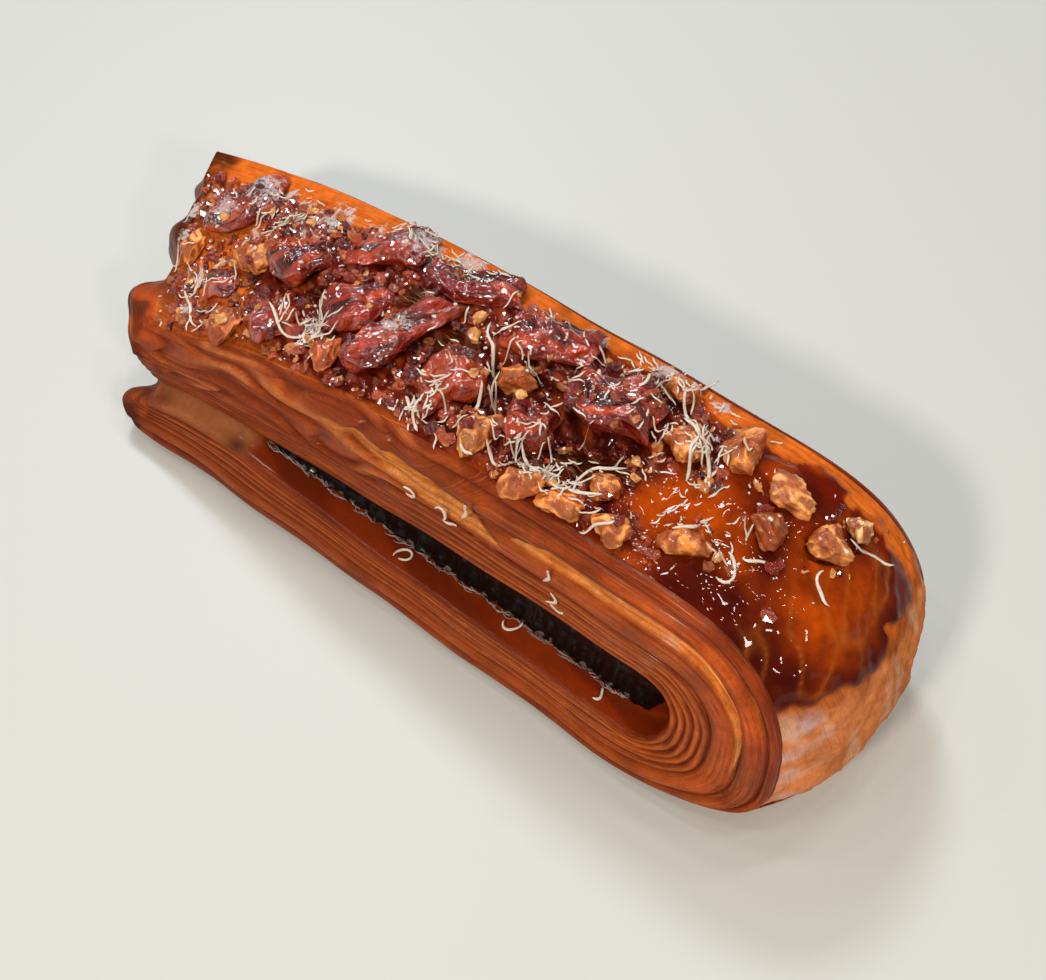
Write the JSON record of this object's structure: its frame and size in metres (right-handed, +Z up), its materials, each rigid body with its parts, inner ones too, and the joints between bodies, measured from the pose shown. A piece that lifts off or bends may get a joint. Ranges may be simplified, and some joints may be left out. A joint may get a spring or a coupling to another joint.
{
  "type": "folded croissant bar with bacon",
  "caption": "Bar of laminated croissant dough folded over a dark filling, glazed and topped with candied bacon, walnut pieces and grated cheese.",
  "frame": {"origin": "on the surface it rests on, under the middle of its box", "axes": "+X along the bar towards the folded end, +Y away from the viewer towards the far cut side, +Z up"},
  "size_m": [0.157, 0.048, 0.048],
  "materials": {
    "dough": "baked laminated dough, glazed on top and matt at the cut sides",
    "filling": "moist, almost black",
    "bacon": "sticky glaze",
    "walnut": "toasted, lightly glazed",
    "cheese": "dry grated"
  },
  "bodies": {
    "root": {"dough": "dough", "filling": "filling", "bacon_1": "bacon", "bacon_2": "bacon", "bacon_3": "bacon", "bacon_4": "bacon", "bacon_5": "bacon", "bacon_6": "bacon", "bacon_7": "bacon", "bacon_8": "bacon", "bacon_9": "bacon", "bacon_10": "bacon", "bacon_11": "bacon", "bacon_12": "bacon", "walnut_1": "walnut", "walnut_2": "walnut", "walnut_3": "walnut", "walnut_4": "walnut", "walnut_5": "walnut", "walnut_6": "walnut", "walnut_7": "walnut", "walnut_8": "walnut", "walnut_9": "walnut", "walnut_10": "walnut", "walnut_11": "walnut", "walnut_12": "walnut", "walnut_13": "walnut", "walnut_14": "walnut", "walnut_15": "walnut", "walnut_16": "walnut", "walnut_17": "walnut", "walnut_18": "walnut"}
  },
  "joints": []
}
